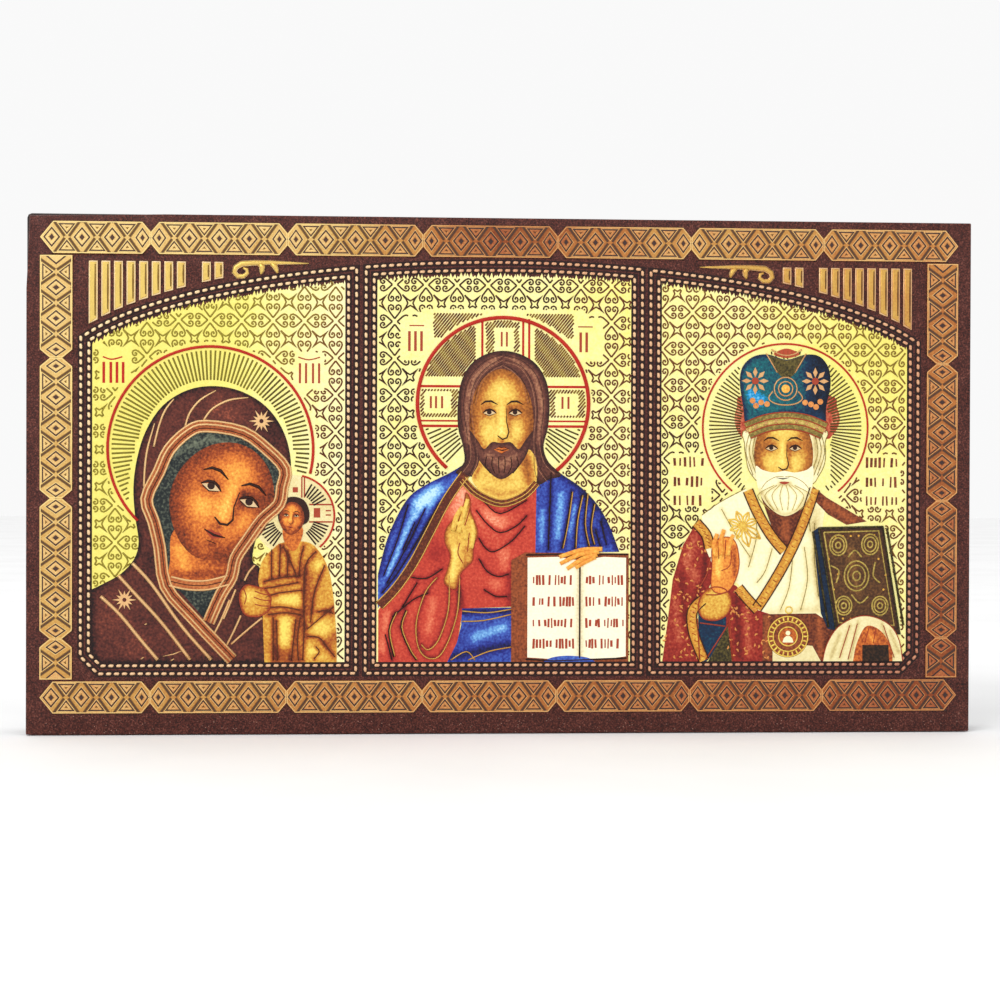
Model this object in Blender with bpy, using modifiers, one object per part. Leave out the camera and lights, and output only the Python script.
"""Flat icon board: a wooden board faced with one stamped sheet that shows three pictures in an arched border."""
import math

import bmesh
import bpy
from mathutils import Matrix

# Board and facing sheet, in millimetres like every size below
BOARD_LENGTH = 110.0
BOARD_HEIGHT = 60.0
BOARD_DEPTH = 7.0
EDGE_EASING = 0.5
GLUE_GAP = 0.3
SHEET_DEPTH = 0.4
SHEET_INSET = 0.1

# How far each kind of stamping stands out of the sheet
FIGURE_RISE = 0.1
BAND_RISE = 0.12
RIM_RISE = 0.14
DETAIL_RISE = 0.17
BEAD_ROW_RISE = 0.19
PATTERN_RISE = 0.21
SCROLL_RISE = 0.27
STROKE_RISE = 0.3

# Border bands: margins from the board's edges, and the pointed notches that part their groups
BAND_WIDTH = 3.7
SIDE_MARGIN = 1.65
TOP_MARGIN = 1.0
BOTTOM_MARGIN = 2.55
BAND_CORNER_GAP = 0.2
BAND_TIP_LENGTH = 1.5
NOTCH_HALF_WIDTH = 0.95
NOTCH_HALF_NECK = 0.7
NOTCH_GAP = 0.1

# The row of diamonds and wedges along a band
GROUP_SIZE = 5
LONG_FIRST_GROUP = 4
LONG_STEP = 3.43
LONG_END_MARGIN = 1.3
SIDE_FIRST_GROUP = 3
SIDE_STEP = 3.55
SIDE_END_MARGIN = 3.7
DIAMOND_HALF_LENGTH = 0.9
DIAMOND_MARGIN = 0.69
DIAMOND_GAP_AT_NOTCH = 0.1
DIAMOND_RIM = 0.42
WEDGE_HALF_BASE = 0.88
WEDGE_EDGE_MARGIN = 0.32
WEDGE_TIP_CLEARANCE = 0.38

# The three openings, each edged by two rows of beads, under one arch
OPENING_SIDE_GAP = 0.95
OPENING_BOTTOM_GAP = 0.85
MIDDLE_OPENING_WIDTH = 32.1
MULLION_STEP = 1.05
ARCH_TOP_GAP = 0.57
ARCH_RISE = 13.7
ARCH_OVERSHOOT = 3.0
ARCH_STEPS = 12
ROW_STEP = 0.92
BEAD_ROW_WIDTH = 0.46
CORNER_CUT = 2.0
INNER_CORNER_CUT = 1.4
PICTURE_GAP = 0.3

# Rows of strokes beside the arch, in two groups a side
STROKE_WIDTH = 0.85
STROKE_STEP = 1.43
STROKE_START = 1.4
STROKE_TOP_GAP = 0.9
STROKE_CLEARANCE = 1.05
STROKES_IN_FIRST_GROUP = 8
SCROLL_CLEARANCE = 1.2

# A scroll on each side of the arch's crown: its outline from its tail's tip, curl and leaf included
SCROLL_FROM_OPENING_EDGE = 25.9
SCROLL_DROP = 0.8
SCROLL = (
    (0.0, 0.05), (2.8, 0.2), (5.6, 0.28), (7.2, 0.15), (8.2, -0.25), (8.65, -0.85), (8.4, -1.35), (7.8, -1.5),
    (7.2, -1.3), (7.1, -0.9), (7.6, -1.0), (8.0, -0.75), (7.6, -0.35), (6.8, -0.2), (5.4, -0.25), (5.0, -0.5),
    (4.9, -1.1), (4.4, -1.4), (3.8, -1.3), (3.7, -0.8), (3.3, -0.4), (2.6, -0.15), (0.0, -0.05),
)
SCROLL_LENGTH = max(x for x, z in SCROLL)

# Figures, drawn from the bottom middle of their picture at these picture sizes, and scaled with it
DRAWN_WIDTHS = (29.16, 29.66, 29.16)
DRAWN_HEIGHTS = (42.0, 45.0, 42.0)
VEIL = (
    (-14.6, 0.0), (-14.6, 8.6), (-13.1, 9.2), (-11.2, 10.3), (-9.7, 12.0), (-9.2, 14.0), (-9.6, 16.9),
    (-9.8, 20.2), (-9.4, 23.5), (-8.4, 26.7), (-6.5, 29.6), (-3.7, 31.4), (-0.6, 31.9), (2.5, 31.3),
    (5.3, 29.6), (7.2, 27.0), (8.1, 24.0), (8.0, 21.3), (6.6, 18.2), (4.0, 14.5), (3.3, 10.9), (1.9, 9.1),
    (1.7, 6.3), (2.9, 4.9), (4.6, 4.6), (4.6, 0.0),
)
CHILD = (
    (5.1, 0.0), (5.1, 5.1), (3.6, 5.4), (2.2, 6.6), (2.1, 8.1), (3.5, 9.0), (4.4, 9.2), (4.5, 10.7),
    (5.6, 12.6), (7.3, 13.6), (6.7, 15.7), (6.9, 18.0), (8.3, 19.3), (9.8, 18.6), (10.4, 16.9),
    (10.0, 14.3), (11.2, 13.2), (12.4, 11.1), (13.0, 7.7), (13.5, 2.7), (13.4, 0.0),
)
FACE_HEM = (
    (-5.9, 8.7), (-6.7, 12.2), (-7.5, 15.3), (-8.5, 18.5), (-7.5, 21.7), (-6.3, 24.5), (-4.0, 26.9),
    (-1.4, 27.3), (2.5, 26.5), (5.9, 24.1), (7.4, 22.3), (7.1, 19.9), (5.7, 17.1), (3.3, 14.0),
)
NECK_HEM = ((-4.7, 9.6), (-1.6, 9.2), (1.2, 9.8))
MANTLE_HEM = ((-5.3, 7.6), (-2.1, 4.1), (1.3, 0.6))
HEM_WIDTH = 1.1
TEACHER = (
    (-14.7, 0.0), (-14.7, 10.3), (-13.7, 14.0), (-12.5, 16.9), (-11.0, 19.3), (-9.0, 20.7), (-6.4, 22.0),
    (-4.4, 24.0), (-4.4, 26.1), (-5.1, 28.5), (-5.0, 31.5), (-4.2, 33.9), (-2.6, 35.6), (0.0, 36.2),
    (2.6, 35.7), (4.4, 34.0), (5.2, 31.5), (5.1, 28.3), (4.2, 25.7), (4.6, 23.5), (6.8, 21.8), (9.0, 20.3),
    (10.8, 18.4), (12.2, 16.0), (13.3, 13.0), (14.3, 12.7), (14.4, 0.0),
)
OPEN_BOOK = ((2.8, 0.6), (2.8, 12.4), (9.0, 11.9), (14.2, 12.5), (14.3, 0.8), (9.0, 0.3))
BISHOP = (
    (-14.3, 0.0), (-14.0, 4.7), (-13.4, 9.7), (-12.2, 13.7), (-10.6, 16.3), (-8.1, 18.5), (-4.7, 20.4),
    (-4.9, 23.3), (-4.3, 27.3), (-5.3, 30.9), (-5.4, 33.9), (-4.1, 35.7), (-1.9, 36.3), (2.1, 36.3),
    (4.3, 35.5), (5.4, 33.5), (5.2, 30.3), (4.4, 26.9), (4.5, 23.5), (3.7, 21.1), (6.7, 19.0), (9.9, 16.6),
    (11.8, 16.1), (13.6, 4.3), (14.0, 0.0),
)
CLOSED_BOOK = ((3.6, 15.7), (11.5, 15.8), (13.2, 4.9), (5.6, 4.3))
STOLE = ((-4.0, 19.9), (-2.3, 16.3), (0.3, 12.9), (-3.3, 6.1))
STOLE_WIDTH = 0.9
MITRE_BAND = ((-4.0, 27.7), (-1.9, 28.5), (0.3, 28.7), (2.5, 28.5), (4.4, 27.7))
MITRE_BAND_WIDTH = 1.0

# Halo rims: across, up, radius, first and last angle in degrees
HALO_RIM_WIDTH = 0.34
MOTHER_HALO = (-1.0, 24.7, 11.75, -14, 224)
CHILD_HALO = (8.4, 17.0, 4.75, -58, 88)
TEACHER_HALO = (0.0, 30.1, 9.95, -50, 230)
BISHOP_HALO = (0.05, 27.5, 9.7, -50, 232)
HALO_STEP_DEGREES = 12

# Round and star-shaped trims: across, up, radius
MEDALLION = (0.4, 2.9, 2.4)
DISC_SIDES = 20
VEIL_STARS = ((5.0, 27.9, 1.2), (-10.7, 7.3, 1.1))
MITRE_STARS = ((-3.6, 32.9, 1.5), (3.7, 32.9, 1.5))
STAR_POINTS = 8
STAR_WAIST = 0.5

# Places worked out from the sizes above
HIGHEST_RISE = max(FIGURE_RISE, BAND_RISE, RIM_RISE, DETAIL_RISE, BEAD_ROW_RISE, PATTERN_RISE, SCROLL_RISE,
                   STROKE_RISE)
TOTAL_DEPTH = BOARD_DEPTH + GLUE_GAP + SHEET_DEPTH + HIGHEST_RISE
SHEET_FACE = HIGHEST_RISE - TOTAL_DEPTH / 2
ROOT = SHEET_DEPTH / 2
STEP_AT_NOTCH = 2 * DIAMOND_HALF_LENGTH + DIAMOND_GAP_AT_NOTCH
BAND_END = BOARD_LENGTH / 2 - SIDE_MARGIN
TOP_BAND_LOWER_EDGE = BOARD_HEIGHT - TOP_MARGIN - BAND_WIDTH
BOTTOM_BAND_UPPER_EDGE = BOTTOM_MARGIN + BAND_WIDTH
OPENING_EDGE = BAND_END - BAND_WIDTH - OPENING_SIDE_GAP
OPENING_BOTTOM = BOTTOM_BAND_UPPER_EDGE + OPENING_BOTTOM_GAP
ARCH_TOP = TOP_BAND_LOWER_EDGE - ARCH_TOP_GAP
ARCH_HALF_SPAN = OPENING_EDGE + ARCH_OVERSHOOT
MIDDLE_EDGE = MIDDLE_OPENING_WIDTH / 2
OPENINGS = ((-OPENING_EDGE, -MIDDLE_EDGE - MULLION_STEP), (-MIDDLE_EDGE, MIDDLE_EDGE),
            (MIDDLE_EDGE + MULLION_STEP, OPENING_EDGE))


def principled(name, colour, roughness, metallic=0.0):
    mat = bpy.data.materials.new(name)
    mat.use_nodes = True
    shader = mat.node_tree.nodes["Principled BSDF"]
    shader.inputs["Base Color"].default_value = (*colour, 1.0)
    shader.inputs["Roughness"].default_value = roughness
    shader.inputs["Metallic"].default_value = metallic
    return mat


def box(name, size, middle, collection, mat):
    bm = bmesh.new()
    place = Matrix.Translation([m / 1000 for m in middle]) @ Matrix.Diagonal([s / 1000 for s in size]).to_4x4()
    bmesh.ops.create_cube(bm, size=1, matrix=place)
    mesh = bpy.data.meshes.new(name)
    bm.to_mesh(mesh)
    bm.free()
    mesh.materials.append(mat)
    ob = bpy.data.objects.new(name, mesh)
    collection.objects.link(ob)
    return ob


def stamping(name, outlines, rise, collection):
    """Flat raised areas on the sheet's face: a filled curve, made a closed mesh for the join."""
    curve = bpy.data.curves.new(name, "CURVE")
    curve.dimensions = "2D"
    curve.fill_mode = "BOTH"
    curve.extrude = (rise + ROOT) / 2 / 1000
    for outline in outlines:
        spline = curve.splines.new("POLY")
        spline.points.add(len(outline) - 1)
        for point, (x, z) in zip(spline.points, outline):
            point.co = (x / 1000, z / 1000, 0, 1)
        spline.use_cyclic_u = True
    flat = bpy.data.objects.new(name, curve)
    collection.objects.link(flat)
    flat.rotation_euler.x = math.pi / 2
    flat.location.y = (SHEET_FACE + (ROOT - rise) / 2) / 1000
    bpy.context.view_layer.update()
    mesh = bpy.data.meshes.new_from_object(flat.evaluated_get(bpy.context.evaluated_depsgraph_get()))
    bm = bmesh.new()
    bm.from_mesh(mesh)
    bmesh.ops.remove_doubles(bm, verts=bm.verts, dist=1e-6)
    bmesh.ops.dissolve_limit(bm, angle_limit=0.001, verts=[], edges=bm.edges)
    bmesh.ops.recalc_face_normals(bm, faces=bm.faces)
    bm.to_mesh(mesh)
    bm.free()
    solid = bpy.data.objects.new(name, mesh)
    collection.objects.link(solid)
    solid.matrix_world = flat.matrix_world
    bpy.data.objects.remove(flat)
    solid.hide_render = True
    solid.display_type = "WIRE"
    return solid


def press_into(sheet, solid):
    union = sheet.modifiers.new(solid.name, "BOOLEAN")
    union.operation = "UNION"
    union.solver = "EXACT"
    union.object = solid


def beside(points, half_width, closed):
    """Two lines beside a middle line, mitred at its corners."""
    left = []
    right = []
    last = len(points) - 1
    for i, (x, z) in enumerate(points):
        ways = []
        if closed or i > 0:
            ways.append((x - points[i - 1][0], z - points[i - 1][1]))
        if closed or i < last:
            after = points[(i + 1) % len(points)]
            ways.append((after[0] - x, after[1] - z))
        ways = [(a / math.hypot(a, b), b / math.hypot(a, b)) for a, b in ways]
        along = sum(a for a, b in ways) / len(ways)
        up = sum(b for a, b in ways) / len(ways)
        reach = half_width / (along * along + up * up)
        left.append((x - up * reach, z + along * reach))
        right.append((x + up * reach, z - along * reach))
    return left, right


def bar(points, width):
    left, right = beside(points, width / 2, closed=False)
    return [left + right[::-1]]


def closed_bar(points, width):
    return list(beside(points, width / 2, closed=True))


def arch_height(x):
    """Height of the outer bead row's arch at a place along the board."""
    return ARCH_TOP - ARCH_RISE * (1 - math.sqrt(max(0, 1 - (x / ARCH_HALF_SPAN) ** 2)))


def diamond_row(length, first_group, step):
    """Places along a band of this length: its diamonds, the wedges between them, the notches between groups."""
    diamonds = []
    wedges = []
    notches = []
    place = 0.0
    left_in_group = first_group
    while place <= length:
        diamonds.append(place)
        left_in_group -= 1
        if left_in_group:
            wedges.append(place + step / 2)
            place += step
        else:
            notches.append(place + STEP_AT_NOTCH / 2)
            place += STEP_AT_NOTCH
            left_in_group = GROUP_SIZE
    last = diamonds[-1]
    return diamonds, [w for w in wedges if w < last], [n for n in notches if n < last]


def plate_end(kind, place, inward):
    """Points down one end of a group's plate: a tip, a square end, or the neck at a notch."""
    half = BAND_WIDTH / 2
    if kind == "tip":
        return [(place + inward * BAND_TIP_LENGTH, half), (place, 0), (place + inward * BAND_TIP_LENGTH, -half)]
    if kind == "square":
        return [(place, half), (place, -half)]
    shoulder = place + inward * NOTCH_HALF_WIDTH
    neck = place + inward * NOTCH_GAP / 2
    return [(shoulder, half), (neck, NOTCH_HALF_NECK), (neck, -NOTCH_HALF_NECK), (shoulder, -half)]


def band_plates(start, end, end_kind, notches):
    """One plate for each group of diamonds, from one end of a band to the other."""
    places = [start, *notches, end]
    kinds = [end_kind, *["notch"] * len(notches), end_kind]
    plates = []
    for i in range(len(places) - 1):
        lower = plate_end(kinds[i], places[i], 1)
        upper = plate_end(kinds[i + 1], places[i + 1], -1)
        plates.append(lower + upper[::-1])
    return plates


def band_pattern(diamonds, wedges, start):
    """Diamond rings and pairs of wedges along a band at height 0, whose first diamond is at start."""
    outlines = []
    half_width = BAND_WIDTH / 2 - DIAMOND_MARGIN
    for at in [start + d for d in diamonds]:
        for inset in (0.0, DIAMOND_RIM):
            share = 1 - inset / min(DIAMOND_HALF_LENGTH, half_width)
            a = DIAMOND_HALF_LENGTH * share
            b = half_width * share
            outlines.append([(at - a, 0), (at, -b), (at + a, 0), (at, b)])
    edge = BAND_WIDTH / 2 - WEDGE_EDGE_MARGIN
    for middle in [start + w for w in wedges]:
        for side in (-1, 1):
            outlines.append([(middle - WEDGE_HALF_BASE, side * edge), (middle + WEDGE_HALF_BASE, side * edge),
                             (middle, side * WEDGE_TIP_CLEARANCE)])
    return outlines


def long_band(middle):
    """Plates and pattern of the top or bottom band."""
    diamonds, wedges, notches = diamond_row(2 * (BAND_END - LONG_END_MARGIN), LONG_FIRST_GROUP, LONG_STEP)
    start = -diamonds[-1] / 2
    plates = band_plates(-BAND_END, BAND_END, "tip", [start + n for n in notches])
    return moved(plates, 0, middle), moved(band_pattern(diamonds, wedges, start), 0, middle)


def side_band(side):
    """Plates and pattern of a side band, worked out lying down and then stood up."""
    top = TOP_BAND_LOWER_EDGE - BAND_CORNER_GAP
    length = top - BOTTOM_BAND_UPPER_EDGE - BAND_CORNER_GAP
    diamonds, wedges, notches = diamond_row(length - 2 * SIDE_END_MARGIN, SIDE_FIRST_GROUP, SIDE_STEP)
    start = (length - diamonds[-1]) / 2
    plates = band_plates(0, length, "square", [start + n for n in notches])
    wedges = [-SIDE_STEP / 2, *wedges, diamonds[-1] + SIDE_STEP / 2]
    pattern = band_pattern(diamonds, wedges, start)
    middle = side * (BAND_END - BAND_WIDTH / 2)
    return ([[(middle + b, top - a) for a, b in plate] for plate in plates],
            [[(middle + b, top - a) for a, b in line] for line in pattern])


def moved(outlines, across, up, scale=1.0):
    return [[(across + x * scale, up + z * scale) for x, z in line] for line in outlines]


def bead_row(left, right, inset, corner_cut):
    """One closed row of beads round an opening; an end opening has its lower outer corner cut off."""
    bottom = OPENING_BOTTOM + inset
    cut_left = left == -OPENING_EDGE
    cut_right = right == OPENING_EDGE
    left += inset
    right -= inset
    points = [(left, bottom + corner_cut), (left + corner_cut, bottom)] if cut_left else [(left, bottom)]
    points += [(right - corner_cut, bottom), (right, bottom + corner_cut)] if cut_right else [(right, bottom)]
    for step in range(ARCH_STEPS + 1):
        x = right + (left - right) * step / ARCH_STEPS
        points.append((x, arch_height(x) - inset))
    return closed_bar(points, BEAD_ROW_WIDTH)


def stroke_row(side):
    """Plain strokes from the end of the arch towards the scroll, with a gap after the first group."""
    top = TOP_BAND_LOWER_EDGE - STROKE_TOP_GAP
    strokes = []
    place = OPENING_EDGE - STROKE_START
    scroll_end = OPENING_EDGE - SCROLL_FROM_OPENING_EDGE + SCROLL_LENGTH
    count = 0
    while place > scroll_end + SCROLL_CLEARANCE:
        inner = place - STROKE_WIDTH / 2
        outer = place + STROKE_WIDTH / 2
        foot = arch_height(inner) + STROKE_CLEARANCE
        if count != STROKES_IN_FIRST_GROUP and foot < top - STROKE_WIDTH:
            strokes.append([(side * inner, foot), (side * outer, arch_height(outer) + STROKE_CLEARANCE),
                            (side * outer, top), (side * inner, top)])
        place -= STROKE_STEP
        count += 1
    return strokes


def scroll(side):
    across = side * (OPENING_EDGE - SCROLL_FROM_OPENING_EDGE)
    up = TOP_BAND_LOWER_EDGE - SCROLL_DROP
    return moved([[(side * x, z) for x, z in SCROLL]], across, up)


def halo(across, up, radius, first, last):
    steps = round((last - first) / HALO_STEP_DEGREES)
    angles = [math.radians(first + (last - first) * i / steps) for i in range(steps + 1)]
    return bar([(across + radius * math.cos(a), up + radius * math.sin(a)) for a in angles], HALO_RIM_WIDTH)


def star(across, up, radius):
    points = []
    for i in range(STAR_POINTS * 2):
        reach = radius * (STAR_WAIST if i % 2 else 1)
        angle = math.pi * i / STAR_POINTS
        points.append((across + reach * math.sin(angle), up + reach * math.cos(angle)))
    return [points]


def disc(across, up, radius):
    angles = [math.tau * i / DISC_SIDES for i in range(DISC_SIDES)]
    return [[(across + radius * math.cos(a), up + radius * math.sin(a)) for a in angles]]


def in_picture(number, outlines):
    """Outlines drawn in a picture's own frame, placed and scaled into its opening."""
    left, right = OPENINGS[number]
    inset = ROW_STEP + PICTURE_GAP
    middle = (left + right) / 2
    bottom = OPENING_BOTTOM + inset
    height = arch_height(middle) - inset - bottom
    scale = min((right - left - 2 * inset) / DRAWN_WIDTHS[number], height / DRAWN_HEIGHTS[number])
    return moved(outlines, middle, bottom, scale)


for ob in list(bpy.data.objects):
    bpy.data.objects.remove(ob)
icon_board = bpy.data.collections.new("icon_board")
stampings = bpy.data.collections.new("stampings")
bpy.context.scene.collection.children.link(icon_board)
bpy.context.scene.collection.children.link(stampings)

# Backing board
board = box("board", (BOARD_LENGTH, BOARD_DEPTH, BOARD_HEIGHT),
            (0, (TOTAL_DEPTH - BOARD_DEPTH) / 2, BOARD_HEIGHT / 2),
            icon_board, principled("dark_painted_board", (0.045, 0.026, 0.022), 0.6))
easing = board.modifiers.new("eased_edges", "BEVEL")
easing.width = EDGE_EASING / 1000
easing.segments = 2
easing.limit_method = "ANGLE"

# Facing sheet, before it is stamped
sheet = box("stamped_sheet", (BOARD_LENGTH - 2 * SHEET_INSET, SHEET_DEPTH, BOARD_HEIGHT - 2 * SHEET_INSET),
            (0, SHEET_FACE + SHEET_DEPTH / 2, BOARD_HEIGHT / 2),
            icon_board, principled("gold_stamped_film", (0.32, 0.2, 0.09), 0.4, 0.4))

# Bead rows round the three openings
rows = []
for left, right in OPENINGS:
    rows += bead_row(left, right, 0.0, CORNER_CUT)
    rows += bead_row(left, right, ROW_STEP, INNER_CORNER_CUT)
press_into(sheet, stamping("bead_rows", rows, BEAD_ROW_RISE, stampings))

# Strokes and scrolls beside the arch
press_into(sheet, stamping("strokes", stroke_row(-1) + stroke_row(1), STROKE_RISE, stampings))
press_into(sheet, stamping("scrolls", scroll(-1) + scroll(1), SCROLL_RISE, stampings))

# Figures, their halo rims, and the hems, books and trims that stand highest on them
figures = in_picture(0, [VEIL, CHILD]) + in_picture(1, [TEACHER]) + in_picture(2, [BISHOP])
press_into(sheet, stamping("figures", figures, FIGURE_RISE, stampings))
rims = in_picture(0, halo(*MOTHER_HALO) + halo(*CHILD_HALO)) + in_picture(1, halo(*TEACHER_HALO))
rims += in_picture(2, halo(*BISHOP_HALO))
press_into(sheet, stamping("halo_rims", rims, RIM_RISE, stampings))
veil_trims = bar(FACE_HEM, HEM_WIDTH) + bar(NECK_HEM, HEM_WIDTH) + bar(MANTLE_HEM, HEM_WIDTH)
for place in VEIL_STARS:
    veil_trims += star(*place)
bishop_trims = [CLOSED_BOOK] + bar(STOLE, STOLE_WIDTH) + bar(MITRE_BAND, MITRE_BAND_WIDTH) + disc(*MEDALLION)
for place in MITRE_STARS:
    bishop_trims += star(*place)
details = in_picture(0, veil_trims) + in_picture(1, [OPEN_BOOK]) + in_picture(2, bishop_trims)
press_into(sheet, stamping("details", details, DETAIL_RISE, stampings))

# Border bands and the pattern on them
bands = []
patterns = []
for band in (long_band(BOARD_HEIGHT - TOP_MARGIN - BAND_WIDTH / 2), long_band(BOTTOM_MARGIN + BAND_WIDTH / 2),
             side_band(-1), side_band(1)):
    bands += band[0]
    patterns += band[1]
press_into(sheet, stamping("bands", bands, BAND_RISE, stampings))
press_into(sheet, stamping("band_pattern", patterns, PATTERN_RISE, stampings))
